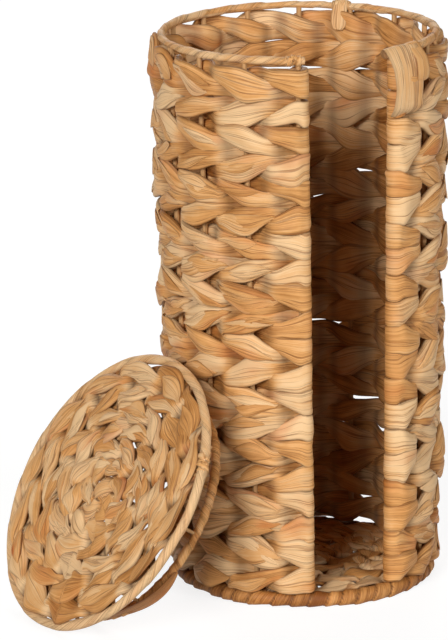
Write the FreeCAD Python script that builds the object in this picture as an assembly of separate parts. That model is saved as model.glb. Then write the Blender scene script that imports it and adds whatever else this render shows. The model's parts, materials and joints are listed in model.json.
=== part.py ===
import FreeCAD, Part
import math
import os
from collections import namedtuple
from FreeCAD import Placement, Rotation, Vector

# A round storage basket: leaf strands twined over wire stakes, open at the top, with a slot
# down its front, and a loose woven lid that leans against its side. Millimetres, +Z up, the
# slot faces -Y, and the origin is on the basket's axis at the floor.

# Driving dimensions of the basket
HEIGHT = 340.0
RIM_RADIUS = 82.5
BASE_RADIUS = 75.0
STAKE_POSITIONS = 16
STAKE_DIAMETER = 3.2
RIM_WIRE_DIAMETER = 2.6
RIM_DIAMETER = 5.0
RIM_OVERHANG = 4.0
RIM_GAP = 5.0
BASE_WIRE_DIAMETER = 3.2
BASE_RING_DIAMETER = 10.0
FOOT_FLAT = 0.5

# Wall weave: one folded leaf strand per row
ROW_COUNT = 20
LEAF_THICKNESS = 4.8
LEAF_CROSS_WIDTH = 10.4
SHOULDER = 0.9

# Flat weave of the base and the lid
ROUND_COUNT = 5
ROUND_LEAF_THICKNESS = 2.2
ROUND_CROSS_WIDTH = 5.4
SPOKE_COUNT = 16
SPOKE_DIAMETER = 2.4
INNER_ROUNDS = 2
HUB_RADIUS = 4.8
HUB_WIRE_DIAMETER = 3.0
KNOT_RADIUS = 8.4
KNOT_THICKNESS = 8.0
KNOT_ROUNDING = 2.4

# Lid
LID_RIM_RADIUS = 86.0
LID_RIM_DIAMETER = 6.0
LID_WIRE_DIAMETER = 2.8
COLLAR_RADIUS = 71.0
COLLAR_DIAMETER = 6.0
COLLAR_DEPTH = 22.0
LEG_DIAMETER = 2.2
LID_TILT = 32.6
LID_HEADING = -79.4
LID_SIDE_OFFSET = 2.7

# Clearances: FIT round a wire in its wrap, GAP between leaves, REST where the lid leans, which
# is met to within CLOSE
FIT = 0.15
GAP = 0.3
REST = 0.2
CLOSE = 0.02

# Skin of a strand: sections per stake and points round a section
STEPS = 4
AROUND = 8

UP = Vector(0, 0, 1)
AXIS_FOOT = Vector(0, 0, 0)
BASE_Z = BASE_RING_DIAMETER / 2 - FOOT_FLAT
BASE_TOP = BASE_RING_DIAMETER - FOOT_FLAT
RIM_Z = HEIGHT - RIM_DIAMETER / 2
WEAVE_BOTTOM = BASE_TOP + GAP
WEAVE_TOP = HEIGHT - RIM_DIAMETER - RIM_GAP
ROW_PITCH = (WEAVE_TOP - WEAVE_BOTTOM) / ROW_COUNT
STAKE_ANGLE = 2 * math.pi / STAKE_POSITIONS
WALL_SPANS = STAKE_POSITIONS - 2

# A leaf strand: its lift off the bar, its climb between bars, its half thickness and half width
# over a bar and where it crosses its partner, and its half width where it folds round a post
Leaf = namedtuple("Leaf", "lift climb thin_over thin_cross wide_over wide_cross wide_fold")


def leaf(bar_diameter, thickness, row_height, cross_width):
    """Sizes of a strand that is twined over bars in rows of the given height."""
    half_row = (row_height - GAP) / 2
    thin_cross = (half_row - GAP / 2) / 2
    return Leaf(
        lift=bar_diameter / 2 + GAP + thickness / 2,
        climb=half_row - thin_cross,
        thin_over=thickness / 2,
        thin_cross=thin_cross,
        wide_over=half_row - SHOULDER,
        wide_cross=cross_width / 2,
        wide_fold=half_row,
    )


def half_sizes(phase, band):
    """Half thickness and half width of a strand at a phase of its winding."""
    over = math.cos(phase) ** 2
    thin = band.thin_cross + (band.thin_over - band.thin_cross) * over
    wide = band.wide_cross + (band.wide_over - band.wide_cross) * over**2
    return thin, wide


def reach(band):
    """How far a twined pair stands off the middle of its bars at most."""
    reaches = []
    for degree in range(90):
        phase = math.radians(degree)
        thin, wide = half_sizes(phase, band)
        over = math.cos(phase)
        reaches.append(band.lift * over + math.hypot(thin * over, wide * math.sin(phase)))
    return max(reaches)


def kept(turn):
    """Share of a circle's radius that a cubic skin keeps, for points that are a turn apart."""
    return (2 + math.cos(turn)) / 3


def outward(turn):
    """Unit vector away from the axis, at an angle from the middle of the slot."""
    return Vector(math.sin(turn), -math.cos(turn), 0)


def section(centre, thin_way, wide_way, half_thin, half_wide):
    """Control points of one oval section of a strand."""
    step = 2 * math.pi / AROUND
    points = []
    for i in range(AROUND):
        angle = step * (i + 0.5)
        wide = wide_way * (half_wide / kept(step) * math.cos(angle))
        thin = thin_way * (half_thin / kept(step) * math.sin(angle))
        points.append(centre + wide + thin)
    return points


def twined_section(origin, over, along, phase, side, twist, band):
    """Section of a strand that winds round its partner, a half turn from bar to bar.

    over points off the bar, along runs down the bar, side picks the strand of the pair.
    """
    c = math.cos(phase)
    s = twist * math.sin(phase)
    offset = over * (band.lift * c) + along * (band.climb * s)
    centre = origin + offset * (side / kept(math.pi / STEPS))
    thin, wide = half_sizes(phase, band)
    return section(centre, (over * c + along * s) * side, along * c - over * s, thin, wide)


def skin(sections, closed=False):
    """Solid under a smooth cubic skin over sections, ended by flat caps or closed on itself."""
    spans = len(sections) if closed else len(sections) - 3
    ends = [1] if closed else [4]
    surface = Part.BSplineSurface()
    surface.buildFromPolesMultsKnots(
        sections,
        ends + [1] * (spans - 1) + ends,
        [1] * (AROUND + 1),
        list(range(spans + 1)),
        list(range(AROUND + 1)),
        closed,
        True,
        3,
        3,
    )
    face = surface.toShape()
    mouths = [] if closed else [e for e in face.Edges if e.isClosed() and not e.isSeam(face)]
    caps = [Part.Face(Part.Wire([e])) for e in mouths]
    solid = Part.Solid(Part.Shell([face] + caps))
    solid.fix(1e-4, 1e-4, 1e-4)
    if solid.Volume < 0:
        solid.reverse()
    return solid


def stake_radius(z):
    """Distance of the leaning stakes from the axis at a height."""
    return BASE_RADIUS + (RIM_RADIUS - BASE_RADIUS) * (z - BASE_Z) / (RIM_Z - BASE_Z)


def wall_leaf():
    """Sizes of the wall's strands."""
    return leaf(STAKE_DIAMETER, LEAF_THICKNESS, ROW_PITCH, LEAF_CROSS_WIDTH)


def fold(centre, out, from_side, way, band):
    """Sections of the half turn that a strand makes round a slot post, the ends left out."""
    aside = UP.cross(out) * way
    turn = math.pi / STEPS
    sections = []
    for i in range(1, STEPS):
        thin_way = out * (from_side * math.cos(i * turn)) + aside * math.sin(i * turn)
        at = centre + thin_way * (band.lift / kept(turn))
        sections.append(section(at, thin_way, UP, band.thin_over, band.wide_fold))
    return sections


def weave_row(number):
    """One wall row: a strand folded round a slot post, twined with itself round every stake,
    and turned round the other post, where it butts on its own other end.

    Every second row is the mirror image of the others, so that the slant of the leaves changes
    from row to row.
    """
    band = wall_leaf()
    z = WEAVE_BOTTOM + (number + 0.5) * ROW_PITCH
    radius = stake_radius(z) / kept(STAKE_ANGLE / STEPS)

    def middle(position):
        return outward(position * STAKE_ANGLE) * radius + UP * z

    def strand(step, side):
        span = step / STEPS
        over = outward((span + 1) * STAKE_ANGLE)
        return twined_section(middle(span + 1), over, UP, math.pi * span, side, 1, band)

    steps = WALL_SPANS * STEPS
    last = WALL_SPANS + 1
    inner = [strand(step, -1) for step in range(steps - 1, -1, -1)]
    outer = [strand(step, 1) for step in range(steps + 1)]
    start = fold(middle(1), outward(STAKE_ANGLE), -1, -1, band)
    finish = fold(middle(last), outward(last * STAKE_ANGLE), 1, 1, band)
    row = skin(inner + start + outer + finish)
    if number % 2:
        row = row.mirror(AXIS_FOOT, Vector(1, 0, 0))
    return row


def rod(start, end, diameter):
    """Straight round rod between two points."""
    way = end - start
    return Part.makeCylinder(diameter / 2, way.Length, start, way)


def bar(start, end, diameter, start_wire, end_wire):
    """Rod between the middles of two wires of the given diameters, which it butts on."""
    way = (end - start).normalize()
    return rod(start + way * (start_wire / 2 + FIT), end - way * (end_wire / 2 + FIT), diameter)


def hoop(radius, z, diameter, sweep=2 * math.pi, start=0.0):
    """Round bar bent to a hoop about the axis, or to an arc of one."""
    middle = outward(start) * radius + UP * z
    disc = Part.Face(Part.Wire([Part.makeCircle(diameter / 2, middle, UP.cross(outward(start)))]))
    return disc.revolve(AXIS_FOOT, UP, math.degrees(sweep))


def room(diameter):
    """Diameter of the bore that a wire of the given diameter runs in."""
    return diameter + 2 * FIT


def stake_ends(position):
    """Points on the base wire and the rim wire that a stake joins."""
    out = outward(position * STAKE_ANGLE)
    return out * BASE_RADIUS + UP * BASE_Z, out * RIM_RADIUS + UP * RIM_Z


def stake(position):
    """Stake at a position round the wall, between the base wire and the rim wire."""
    foot, head = stake_ends(position)
    return bar(foot, head, STAKE_DIAMETER, BASE_WIRE_DIAMETER, RIM_WIRE_DIAMETER)


def stake_bores():
    """Room of every stake, from wire to wire."""
    return [rod(*stake_ends(p), room(STAKE_DIAMETER)) for p in range(1, STAKE_POSITIONS)]


def flat_weave(name, z, ring_radius, ring_wire, weave_reach):
    """Hub, spokes, centre knot and rounds of a flat weave inside a ring of wire.

    Returns the pieces by name, and the bores that the spokes need in the ring's wrap.
    """
    width = (weave_reach - KNOT_RADIUS) / ROUND_COUNT
    short_start = KNOT_RADIUS + GAP + INNER_ROUNDS * width
    longs, shorts, bores = [], [], []
    for number in range(SPOKE_COUNT):
        out = outward(2 * math.pi * number / SPOKE_COUNT)
        end = out * ring_radius + UP * z
        start = out * (short_start if number % 2 else HUB_RADIUS) + UP * z
        start_wire = 0 if number % 2 else HUB_WIRE_DIAMETER
        spoke = bar(start, end, SPOKE_DIAMETER, start_wire, ring_wire)
        (shorts if number % 2 else longs).append(spoke)
        bores.append(rod(start, end, room(SPOKE_DIAMETER)))
    button = Part.makeCylinder(KNOT_RADIUS, KNOT_THICKNESS, UP * (z - KNOT_THICKNESS / 2))
    brims = [edge for edge in button.Edges if edge.isClosed()]
    button = button.makeFillet(KNOT_ROUNDING, brims)
    hub_bore = hoop(HUB_RADIUS, z, room(HUB_WIRE_DIAMETER))
    pieces = {
        name + "_hub_wire": hoop(HUB_RADIUS, z, HUB_WIRE_DIAMETER),
        name + "_centre_knot": button.cut([hub_bore] + bores[::2]),
        name + "_spokes": Part.makeCompound(longs),
        name + "_short_spokes": Part.makeCompound(shorts),
    }
    for number in range(ROUND_COUNT):
        inner = KNOT_RADIUS + GAP + number * width
        spokes = SPOKE_COUNT // 2 if number < INNER_ROUNDS else SPOKE_COUNT
        twist = 1 if number % 2 else -1
        strands = weave_round(inner, inner + width - GAP, z, spokes, twist)
        pieces["%s_weave_round_%d" % (name, number + 1)] = Part.makeCompound(strands)
    return pieces, bores


def weave_round(inner, outer, z, spokes, twist):
    """One round of flat weave: two strands that wind round each other from spoke to spoke."""
    band = leaf(SPOKE_DIAMETER, ROUND_LEAF_THICKNESS, outer - inner + GAP, ROUND_CROSS_WIDTH)
    radius = (inner + outer) / 2 / kept(2 * math.pi / spokes / STEPS)
    strands = []
    for side in (1, -1):
        sections = []
        for step in range(spokes * STEPS):
            span = step / STEPS
            out = outward(2 * math.pi * span / spokes)
            origin = out * radius + UP * z
            sections.append(twined_section(origin, UP, out, math.pi * span, side, twist, band))
        strands.append(skin(sections, closed=True))
    return strands


def base_parts():
    """Base ring, its flat weave and what carries it."""
    edge = BASE_RADIUS - BASE_RING_DIAMETER / 2 - GAP
    width = (edge - KNOT_RADIUS) / ROUND_COUNT
    z = BASE_TOP - reach(leaf(SPOKE_DIAMETER, ROUND_LEAF_THICKNESS, width, ROUND_CROSS_WIDTH))
    parts, bores = flat_weave("base", z, BASE_RADIUS, BASE_WIRE_DIAMETER, edge)
    bores.append(hoop(BASE_RADIUS, BASE_Z, room(BASE_WIRE_DIAMETER)))
    floor_radius = BASE_RADIUS + BASE_RING_DIAMETER
    bores.append(Part.makeCylinder(floor_radius, BASE_RING_DIAMETER, UP * -BASE_RING_DIAMETER))
    ring = hoop(BASE_RADIUS, BASE_Z, BASE_RING_DIAMETER)
    parts["base_ring_wire"] = hoop(BASE_RADIUS, BASE_Z, BASE_WIRE_DIAMETER)
    parts["base_ring_wrap"] = ring.cut(bores + stake_bores())
    return parts


def wall_parts():
    """Stakes, slot posts, rim and the twined rows."""
    overhang = RIM_OVERHANG / RIM_RADIUS
    start = STAKE_ANGLE - overhang
    sweep = WALL_SPANS * STAKE_ANGLE + 2 * overhang
    rim = hoop(RIM_RADIUS, RIM_Z, RIM_DIAMETER, sweep, start)
    bores = [hoop(RIM_RADIUS, RIM_Z, room(RIM_WIRE_DIAMETER))] + stake_bores()
    parts = {
        "rim_wire": hoop(RIM_RADIUS, RIM_Z, RIM_WIRE_DIAMETER, sweep, start),
        "rim_wrap": rim.cut(bores),
        "slot_post_right": stake(1),
        "slot_post_left": stake(STAKE_POSITIONS - 1),
        "wall_stakes": Part.makeCompound([stake(p) for p in range(2, STAKE_POSITIONS - 1)]),
    }
    for number in range(ROW_COUNT):
        parts["weave_row_%02d" % (number + 1)] = weave_row(number)
    return parts


def lid_parts():
    """Lid in its own frame: the disc's middle plane at z 0 and the collar below it."""
    leg_room = LEG_DIAMETER / 2 + GAP
    parts, bores = flat_weave("lid", 0, LID_RIM_RADIUS, LID_WIRE_DIAMETER, COLLAR_RADIUS - leg_room)
    bores.append(hoop(LID_RIM_RADIUS, 0, room(LID_WIRE_DIAMETER)))
    parts["lid_rim_wire"] = hoop(LID_RIM_RADIUS, 0, LID_WIRE_DIAMETER)
    parts["lid_rim_wrap"] = hoop(LID_RIM_RADIUS, 0, LID_RIM_DIAMETER).cut(bores)
    outer_edge = LID_RIM_RADIUS - LID_RIM_DIAMETER / 2 - GAP
    edge_round = weave_round(COLLAR_RADIUS + leg_room, outer_edge, 0, SPOKE_COUNT, 1)
    parts["lid_weave_round_%d" % (ROUND_COUNT + 1)] = Part.makeCompound(edge_round)

    legs = []
    leg_bores = [hoop(COLLAR_RADIUS, -COLLAR_DEPTH, room(LID_WIRE_DIAMETER))]
    for number in range(0, SPOKE_COUNT, 2):
        top = outward(2 * math.pi * number / SPOKE_COUNT) * COLLAR_RADIUS
        foot = top - UP * COLLAR_DEPTH
        legs.append(bar(foot, top, LEG_DIAMETER, LID_WIRE_DIAMETER, SPOKE_DIAMETER))
        leg_bores.append(rod(foot, top, room(LEG_DIAMETER)))
    collar = hoop(COLLAR_RADIUS, -COLLAR_DEPTH, COLLAR_DIAMETER)
    parts["lid_collar_wire"] = hoop(COLLAR_RADIUS, -COLLAR_DEPTH, LID_WIRE_DIAMETER)
    parts["lid_collar_wrap"] = collar.cut(leg_bores)
    parts["lid_collar_legs"] = Part.makeCompound(legs)
    return parts


def lid_place(rows):
    """Placement of the leaning lid: rim on the floor, collar against the nearest wall row."""
    tilt = math.radians(LID_TILT)
    away = outward(math.radians(LID_HEADING))
    level = UP.cross(away)
    face = away * math.cos(tilt) + UP * math.sin(tilt)
    climb = UP * math.cos(tilt) - away * math.sin(tilt)
    middle_z = LID_RIM_RADIUS * math.cos(tilt) + LID_RIM_DIAMETER / 2
    beside = level * LID_SIDE_OFFSET + UP * middle_z
    turned = Rotation(level, climb, face, "ZXY")
    collar = hoop(COLLAR_RADIUS, -COLLAR_DEPTH, COLLAR_DIAMETER)

    def wall_gap(distance):
        placed = collar.transformed(Placement(away * distance + beside, turned).toMatrix())
        low_rows = [row for row in rows if row.BoundBox.ZMin < placed.BoundBox.ZMax]
        return min(placed.distToShape(row)[0] for row in low_rows)

    distance = RIM_RADIUS + LID_RIM_RADIUS
    gap = wall_gap(distance)
    while gap - REST > CLOSE:
        distance -= gap - REST
        gap = wall_gap(distance)
    return Placement(away * distance + beside, turned)


def main():
    os.makedirs("parts", exist_ok=True)
    parts = base_parts()
    wall = wall_parts()
    place = lid_place([shape for name, shape in wall.items() if name.startswith("weave_row")])
    parts.update(wall)
    for name, shape in lid_parts().items():
        parts[name] = shape.transformed(place.toMatrix())
    for name, shape in parts.items():
        if not shape.isValid():
            print("not valid:", name)
        shape.exportStep("parts/%s.step" % name)
    print("lid centre", place.Base, "lid face", place.Rotation.multVec(UP))


main()
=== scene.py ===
import json
import logging
import math
from dataclasses import dataclass
from enum import Enum
from typing import Optional, Union

import bpy
import numpy as np
from mathutils import Matrix, Vector


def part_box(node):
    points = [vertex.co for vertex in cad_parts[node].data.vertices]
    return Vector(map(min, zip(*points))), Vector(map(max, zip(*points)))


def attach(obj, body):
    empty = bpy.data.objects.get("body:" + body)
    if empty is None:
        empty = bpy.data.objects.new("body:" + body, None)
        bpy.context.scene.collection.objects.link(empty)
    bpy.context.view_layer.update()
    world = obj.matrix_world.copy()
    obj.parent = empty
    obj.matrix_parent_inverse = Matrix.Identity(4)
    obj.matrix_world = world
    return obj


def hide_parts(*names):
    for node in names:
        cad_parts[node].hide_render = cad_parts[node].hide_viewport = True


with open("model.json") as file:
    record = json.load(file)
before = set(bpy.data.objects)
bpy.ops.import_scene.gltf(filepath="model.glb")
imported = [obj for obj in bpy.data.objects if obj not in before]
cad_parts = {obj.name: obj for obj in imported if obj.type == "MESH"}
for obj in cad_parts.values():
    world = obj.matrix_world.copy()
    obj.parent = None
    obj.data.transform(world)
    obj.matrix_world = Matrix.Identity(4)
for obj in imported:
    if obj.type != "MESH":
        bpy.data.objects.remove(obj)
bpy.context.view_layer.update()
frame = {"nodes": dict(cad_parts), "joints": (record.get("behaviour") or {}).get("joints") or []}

LOG = logging.getLogger("twined_basket")
MM = 0.001
TURN = 2 * math.pi
UP = np.array((0.0, 0.0, 1.0))

STAKE_POSITIONS = 16
BASE_RADIUS_MM = 75.0
RIM_RADIUS_MM = 82.5
RIM_OVERHANG_MM = 4.0
LID_RADIUS_MM = 86.0
COLLAR_RADIUS_MM = 71.0
COLLAR_DEPTH_MM = 22.0

Array = np.ndarray
Range = tuple[float, float]
Ways = tuple[Array, Array, Array]
Faces = list[tuple[int, ...]]
Sockets = dict[str, bpy.types.NodeSocket]


class Body(Enum):
    """Bodies of the frame that pieces ride on."""

    BASKET = "basket"
    LID = "lid"


class Slot(Enum):
    """Material slots of the record."""

    WALL = "wall_leaf"
    FLAT = "flat_leaf"
    WRAP = "wrap_leaf"


def linear(code: str) -> tuple[float, float, float, float]:
    """Turn an sRGB hex colour into a linear one.

    Args:
        code: The colour as "#RRGGBB".

    Returns:
        Linear red, green, blue and an alpha of 1.
    """
    parts = [int(code[i : i + 2], 16) / 255 for i in (1, 3, 5)]
    red, green, blue = (p / 12.92 if p <= 0.04045 else ((p + 0.055) / 1.055) ** 2.4 for p in parts)
    return red, green, blue, 1.0


def add_node(
    tree: bpy.types.NodeTree, kind: str, inputs: Optional[dict] = None, **settings: object
) -> bpy.types.Node:
    """Add a node with its settings, input values and links.

    Args:
        tree: The material's or world's node tree.
        kind: The node's type name.
        inputs: Input name or number to a value, or to the output socket that feeds it.
        settings: Attributes of the node.

    Returns:
        The new node.
    """
    node = tree.nodes.new(kind)
    for key, value in settings.items():
        setattr(node, key, value)
    for key, value in (inputs or {}).items():
        if isinstance(value, bpy.types.NodeSocket):
            tree.links.new(value, node.inputs[key])
        else:
            node.inputs[key].default_value = value
    return node


def empty_material(name: str) -> tuple[bpy.types.Material, bpy.types.NodeTree]:
    """Make a material with an empty node tree.

    Args:
        name: The material's name.

    Returns:
        The material and its tree.
    """
    material = bpy.data.materials.new(name)
    material.use_nodes = True
    material.node_tree.nodes.clear()
    return material, material.node_tree


@dataclass(frozen=True)
class LeafFinish:
    """Dried water-hyacinth leaf, rolled by hand.

    The eye sees a satin straw colour that goes from pale to red-brown from leaf to leaf, fine
    fibres and a few creases that run along the strand. Painted shade darkens the creases and the leaf where
    it is tucked.
    """

    name: str
    pale: str = "#E2BB8B"
    honey: str = "#D59B5C"
    tan: str = "#B1763B"
    brown: str = "#7C4619"
    rust: str = "#C0692A"
    painted_shade_brown: str = "#3E1D08"
    tan_at: float = 0.26
    honey_at: float = 0.58
    # Fibres are about 0.4 mm apart on the real leaf, and drawn coarser here so that they show
    fibre_mm: float = 0.6
    crease_mm: float = 3.0
    blotch_mm: float = 11.0
    patch_mm: float = 18.7
    stretch: float = 60.0
    fibre_tone: float = 0.9
    blotch_tone: float = 1.1
    crease_width: float = 0.028
    crease_painted_shade: float = 0.6
    crease_sink: float = 0.8
    rusty: Range = (0.48, 0.72)
    relief: float = 0.6
    relief_mm: float = 0.4
    roughness: Range = (0.48, 0.7)
    specular: float = 0.3

    def patterns(self, tree: bpy.types.NodeTree) -> Sockets:
        """Add noise of real sizes across the leaf, drawn out along it.

        Args:
            tree: The material's node tree.

        Returns:
            Sockets of the fibres, the crease lines, the blotches and the rusty patches.
        """
        along = add_node(tree, "ShaderNodeAttribute", attribute_name="leaf").outputs["Vector"]
        sizes = {
            "fibre": (self.fibre_mm, self.stretch * 2, 3.0),
            "crease": (self.crease_mm, self.stretch, 2.0),
            "blotch": (self.blotch_mm, 3.0, 4.0),
            "patch": (self.patch_mm, 2.0, 2.0),
        }
        found = {}
        for name, (size_mm, stretch, detail) in sizes.items():
            scale = (1 / (size_mm * stretch), 1 / size_mm, 1.0)
            at = add_node(tree, "ShaderNodeVectorMath", {0: along, 1: scale}, operation="MULTIPLY")
            noise = {"Vector": at.outputs[0], "Scale": 1.0, "Detail": detail, "Roughness": 0.6}
            found[name] = add_node(tree, "ShaderNodeTexNoise", noise).outputs["Fac"]
        # A crease runs where its noise passes through its middle value
        off = add_node(tree, "ShaderNodeMath", {0: found["crease"], 1: 0.5}, operation="SUBTRACT")
        near = add_node(tree, "ShaderNodeMath", {0: off.outputs[0]}, operation="ABSOLUTE")
        line = {"Value": near.outputs[0], "From Max": self.crease_width, "To Min": 1.0, "To Max": 0.0}
        drawn = add_node(tree, "ShaderNodeMapRange", line, interpolation_type="SMOOTHSTEP")
        found["crease"] = drawn.outputs["Result"]
        return found

    def colour(self, tree: bpy.types.NodeTree, found: Sockets) -> bpy.types.NodeSocket:
        """Mix the leaf's colour from its patterns and its mesh's tint, with painted shade mixed in.

        Args:
            tree: The material's node tree.
            found: The patterns.

        Returns:
            The colour's socket.
        """
        tint = add_node(tree, "ShaderNodeAttribute", attribute_name="tint").outputs["Color"]
        tones = add_node(tree, "ShaderNodeSeparateColor", {"Color": tint}).outputs
        tone = tones[0]
        for name, weight in (("blotch", self.blotch_tone), ("fibre", self.fibre_tone)):
            swing = {0: found[name], 1: weight, 2: -weight / 2}
            moved = add_node(tree, "ShaderNodeMath", swing, operation="MULTIPLY_ADD").outputs[0]
            tone = add_node(tree, "ShaderNodeMath", {0: tone, 1: moved}, operation="ADD").outputs[0]
        ramp = add_node(tree, "ShaderNodeValToRGB", {"Fac": tone})
        ramp.color_ramp.elements[0].color = linear(self.brown)
        ramp.color_ramp.elements[1].color = linear(self.pale)
        ramp.color_ramp.elements.new(self.tan_at).color = linear(self.tan)
        ramp.color_ramp.elements.new(self.honey_at).color = linear(self.honey)

        low, high = self.rusty
        spots = {"Value": found["patch"], "From Min": low, "From Max": high}
        patch = add_node(tree, "ShaderNodeMapRange", spots).outputs[0]
        # Painted shade: the crease lines are darkened towards brown
        shares = ({0: patch, 1: tones[1]}, {0: found["crease"], 1: self.crease_painted_shade})
        factors = [
            add_node(tree, "ShaderNodeMath", share, operation="MULTIPLY").outputs[0] for share in shares
        ]
        colour = ramp.outputs["Color"]
        # Rust goes on the rusty patches, brown goes on the crease lines as painted shade, and the tint's
        # third channel mixes in painted shade
        for factor, code in zip(factors + [tones[2]], (self.rust, self.brown, self.painted_shade_brown)):
            mix = {0: factor, 6: colour, 7: linear(code)}
            colour = add_node(tree, "ShaderNodeMix", mix, data_type="RGBA").outputs[2]
        return colour

    def build(self) -> bpy.types.Material:
        """Make the material, which reads the leaf and tint attributes of a strand's mesh.

        Returns:
            The leaf material.
        """
        material, tree = empty_material(self.name)
        found = self.patterns(tree)
        folds = {0: found["crease"], 1: -self.crease_sink, 2: found["fibre"]}
        height = add_node(tree, "ShaderNodeMath", folds, operation="MULTIPLY_ADD").outputs[0]
        relief = {"Strength": self.relief, "Distance": self.relief_mm * MM, "Height": height}
        smooth, rough = self.roughness
        sheen = {"Value": found["fibre"], "To Min": smooth, "To Max": rough}
        surface = {
            "Base Color": self.colour(tree, found),
            "Roughness": add_node(tree, "ShaderNodeMapRange", sheen).outputs[0],
            "Specular IOR Level": self.specular,
            "Normal": add_node(tree, "ShaderNodeBump", relief).outputs[0],
        }
        shader = add_node(tree, "ShaderNodeBsdfPrincipled", surface)
        add_node(tree, "ShaderNodeOutputMaterial", {"Surface": shader.outputs[0]})
        return material


@dataclass(frozen=True)
class WireFinish:
    """Drawn steel wire, bare or coated, with scratches or streaks of a real size."""

    name: str
    light: str
    dark: str
    grain_mm: float
    length_mm: float
    relief: float
    relief_mm: float
    roughness: float
    metallic: float = 0.0

    def build(self) -> bpy.types.Material:
        """Make the material from the piece's own coordinates, in metres.

        Returns:
            The wire material.
        """
        material, tree = empty_material(self.name)
        along = add_node(tree, "ShaderNodeTexCoord").outputs["Object"]
        scale = [1 / (size_mm * MM) for size_mm in (self.grain_mm, self.grain_mm, self.length_mm)]
        at = add_node(tree, "ShaderNodeVectorMath", {0: along, 1: scale}, operation="MULTIPLY")
        noise = {"Vector": at.outputs[0], "Scale": 1.0, "Detail": 3.0}
        grain = add_node(tree, "ShaderNodeTexNoise", noise).outputs["Fac"]
        tones = {0: grain, 6: linear(self.dark), 7: linear(self.light)}
        relief = {"Strength": self.relief, "Distance": self.relief_mm * MM, "Height": grain}
        surface = {
            "Base Color": add_node(tree, "ShaderNodeMix", tones, data_type="RGBA").outputs[2],
            "Metallic": self.metallic,
            "Roughness": self.roughness,
            "Normal": add_node(tree, "ShaderNodeBump", relief).outputs[0],
        }
        shader = add_node(tree, "ShaderNodeBsdfPrincipled", surface)
        add_node(tree, "ShaderNodeOutputMaterial", {"Surface": shader.outputs[0]})
        return material


# Steel with a tan coat that matches the leaf: the eye sees a matt straw-coloured rod with faint
# streaks along it
COATED_WIRE = WireFinish(
    "tan_coated_wire", light="#D9AC74", dark="#8E5E30", grain_mm=1.1, length_mm=14.0,
    relief=0.5, relief_mm=0.3, roughness=0.66,
)
# Mild steel as it lies inside its leaf wrap: the eye sees a dull grey metal with fine scratches
# from the drawing die
BARE_WIRE = WireFinish(
    "drawn_steel_wire", light="#9A9894", dark="#6E6C69", grain_mm=0.7, length_mm=0.7,
    relief=0.3, relief_mm=0.1, roughness=0.42, metallic=1.0,
)


@dataclass(frozen=True)
class Paper:
    """Seamless studio paper: a white sweep that keeps a faint shadow under the object."""

    name: str = "studio_paper"
    colour: str = "#CACAC8"
    shaded: str = "#8C8C8B"
    glow: float = 0.83

    def build(self) -> bpy.types.Material:
        """Make the floor material: a white glow for the camera, and plain paper for every ray.

        Returns:
            The paper material.
        """
        material, tree = empty_material(self.name)
        rays = add_node(tree, "ShaderNodeLightPath").outputs
        seen = rays["Is Camera Ray"]
        for kind in ("Is Glossy Ray", "Is Transmission Ray"):
            either = add_node(tree, "ShaderNodeMath", {0: seen, 1: rays[kind]}, operation="MAXIMUM")
            seen = either.outputs[0]
        tones = {0: seen, 6: linear(self.colour), 7: linear(self.shaded)}
        tone = add_node(tree, "ShaderNodeMix", tones, data_type="RGBA")
        sheet = add_node(tree, "ShaderNodeBsdfDiffuse", {"Color": tone.outputs[2]})
        power = add_node(tree, "ShaderNodeMath", {0: seen, 1: self.glow}, operation="MULTIPLY")
        glow = add_node(tree, "ShaderNodeEmission", {"Strength": power.outputs[0]})
        both = add_node(tree, "ShaderNodeAddShader", {0: sheet.outputs[0], 1: glow.outputs[0]})
        add_node(tree, "ShaderNodeOutputMaterial", {"Surface": both.outputs[0]})
        return material


@dataclass
class Strand:
    """A run of leaf given by stations along it; lengths in metres.

    tint holds, for each station, how pale the leaf is, how rusty, and how much painted shade it gets where
    it is tucked.
    """

    centre: Array
    thin_way: Array
    wide_way: Array
    half_thin: Array
    half_wide: Array
    tint: Array
    squareness: Union[Array, float] = 2.6
    closed: bool = False


STATION_KEYS = ("centre", "thin_way", "wide_way", "half_thin", "half_wide", "tint", "squareness")


def smoothed(strand: Strand, passes: int = 2) -> Strand:
    """Even out a closed strand's stations where runs meet, and make its ways square again.

    Args:
        strand: The joined strand.
        passes: How often each station is averaged with its neighbours.

    Returns:
        The same strand.
    """
    for _ in range(passes):
        for key in STATION_KEYS:
            values = getattr(strand, key)
            around = np.roll(values, 1, axis=0) + 2 * values + np.roll(values, -1, axis=0)
            setattr(strand, key, around / 4)
    strand.thin_way /= np.linalg.norm(strand.thin_way, axis=1, keepdims=True)
    aslant = (strand.wide_way * strand.thin_way).sum(axis=1, keepdims=True)
    strand.wide_way -= strand.thin_way * aslant
    strand.wide_way /= np.linalg.norm(strand.wide_way, axis=1, keepdims=True)
    return strand


def wander(rng: np.random.Generator, count: int, knots: int, closed: bool = False) -> Array:
    """Draw a smooth random line between -1 and 1.

    Args:
        rng: The seeded source.
        count: Number of samples.
        knots: Number of random values that the line passes through.
        closed: Whether the end meets the start.

    Returns:
        The samples.
    """
    values = rng.uniform(-1, 1, knots + 1)
    if closed:
        values[-1] = values[0]
    at = np.linspace(0, knots, count, endpoint=not closed)
    low = np.minimum(at.astype(int), knots - 1)
    share = (1 - np.cos(np.pi * (at - low))) / 2
    return values[low] * (1 - share) + values[low + 1] * share


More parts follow.
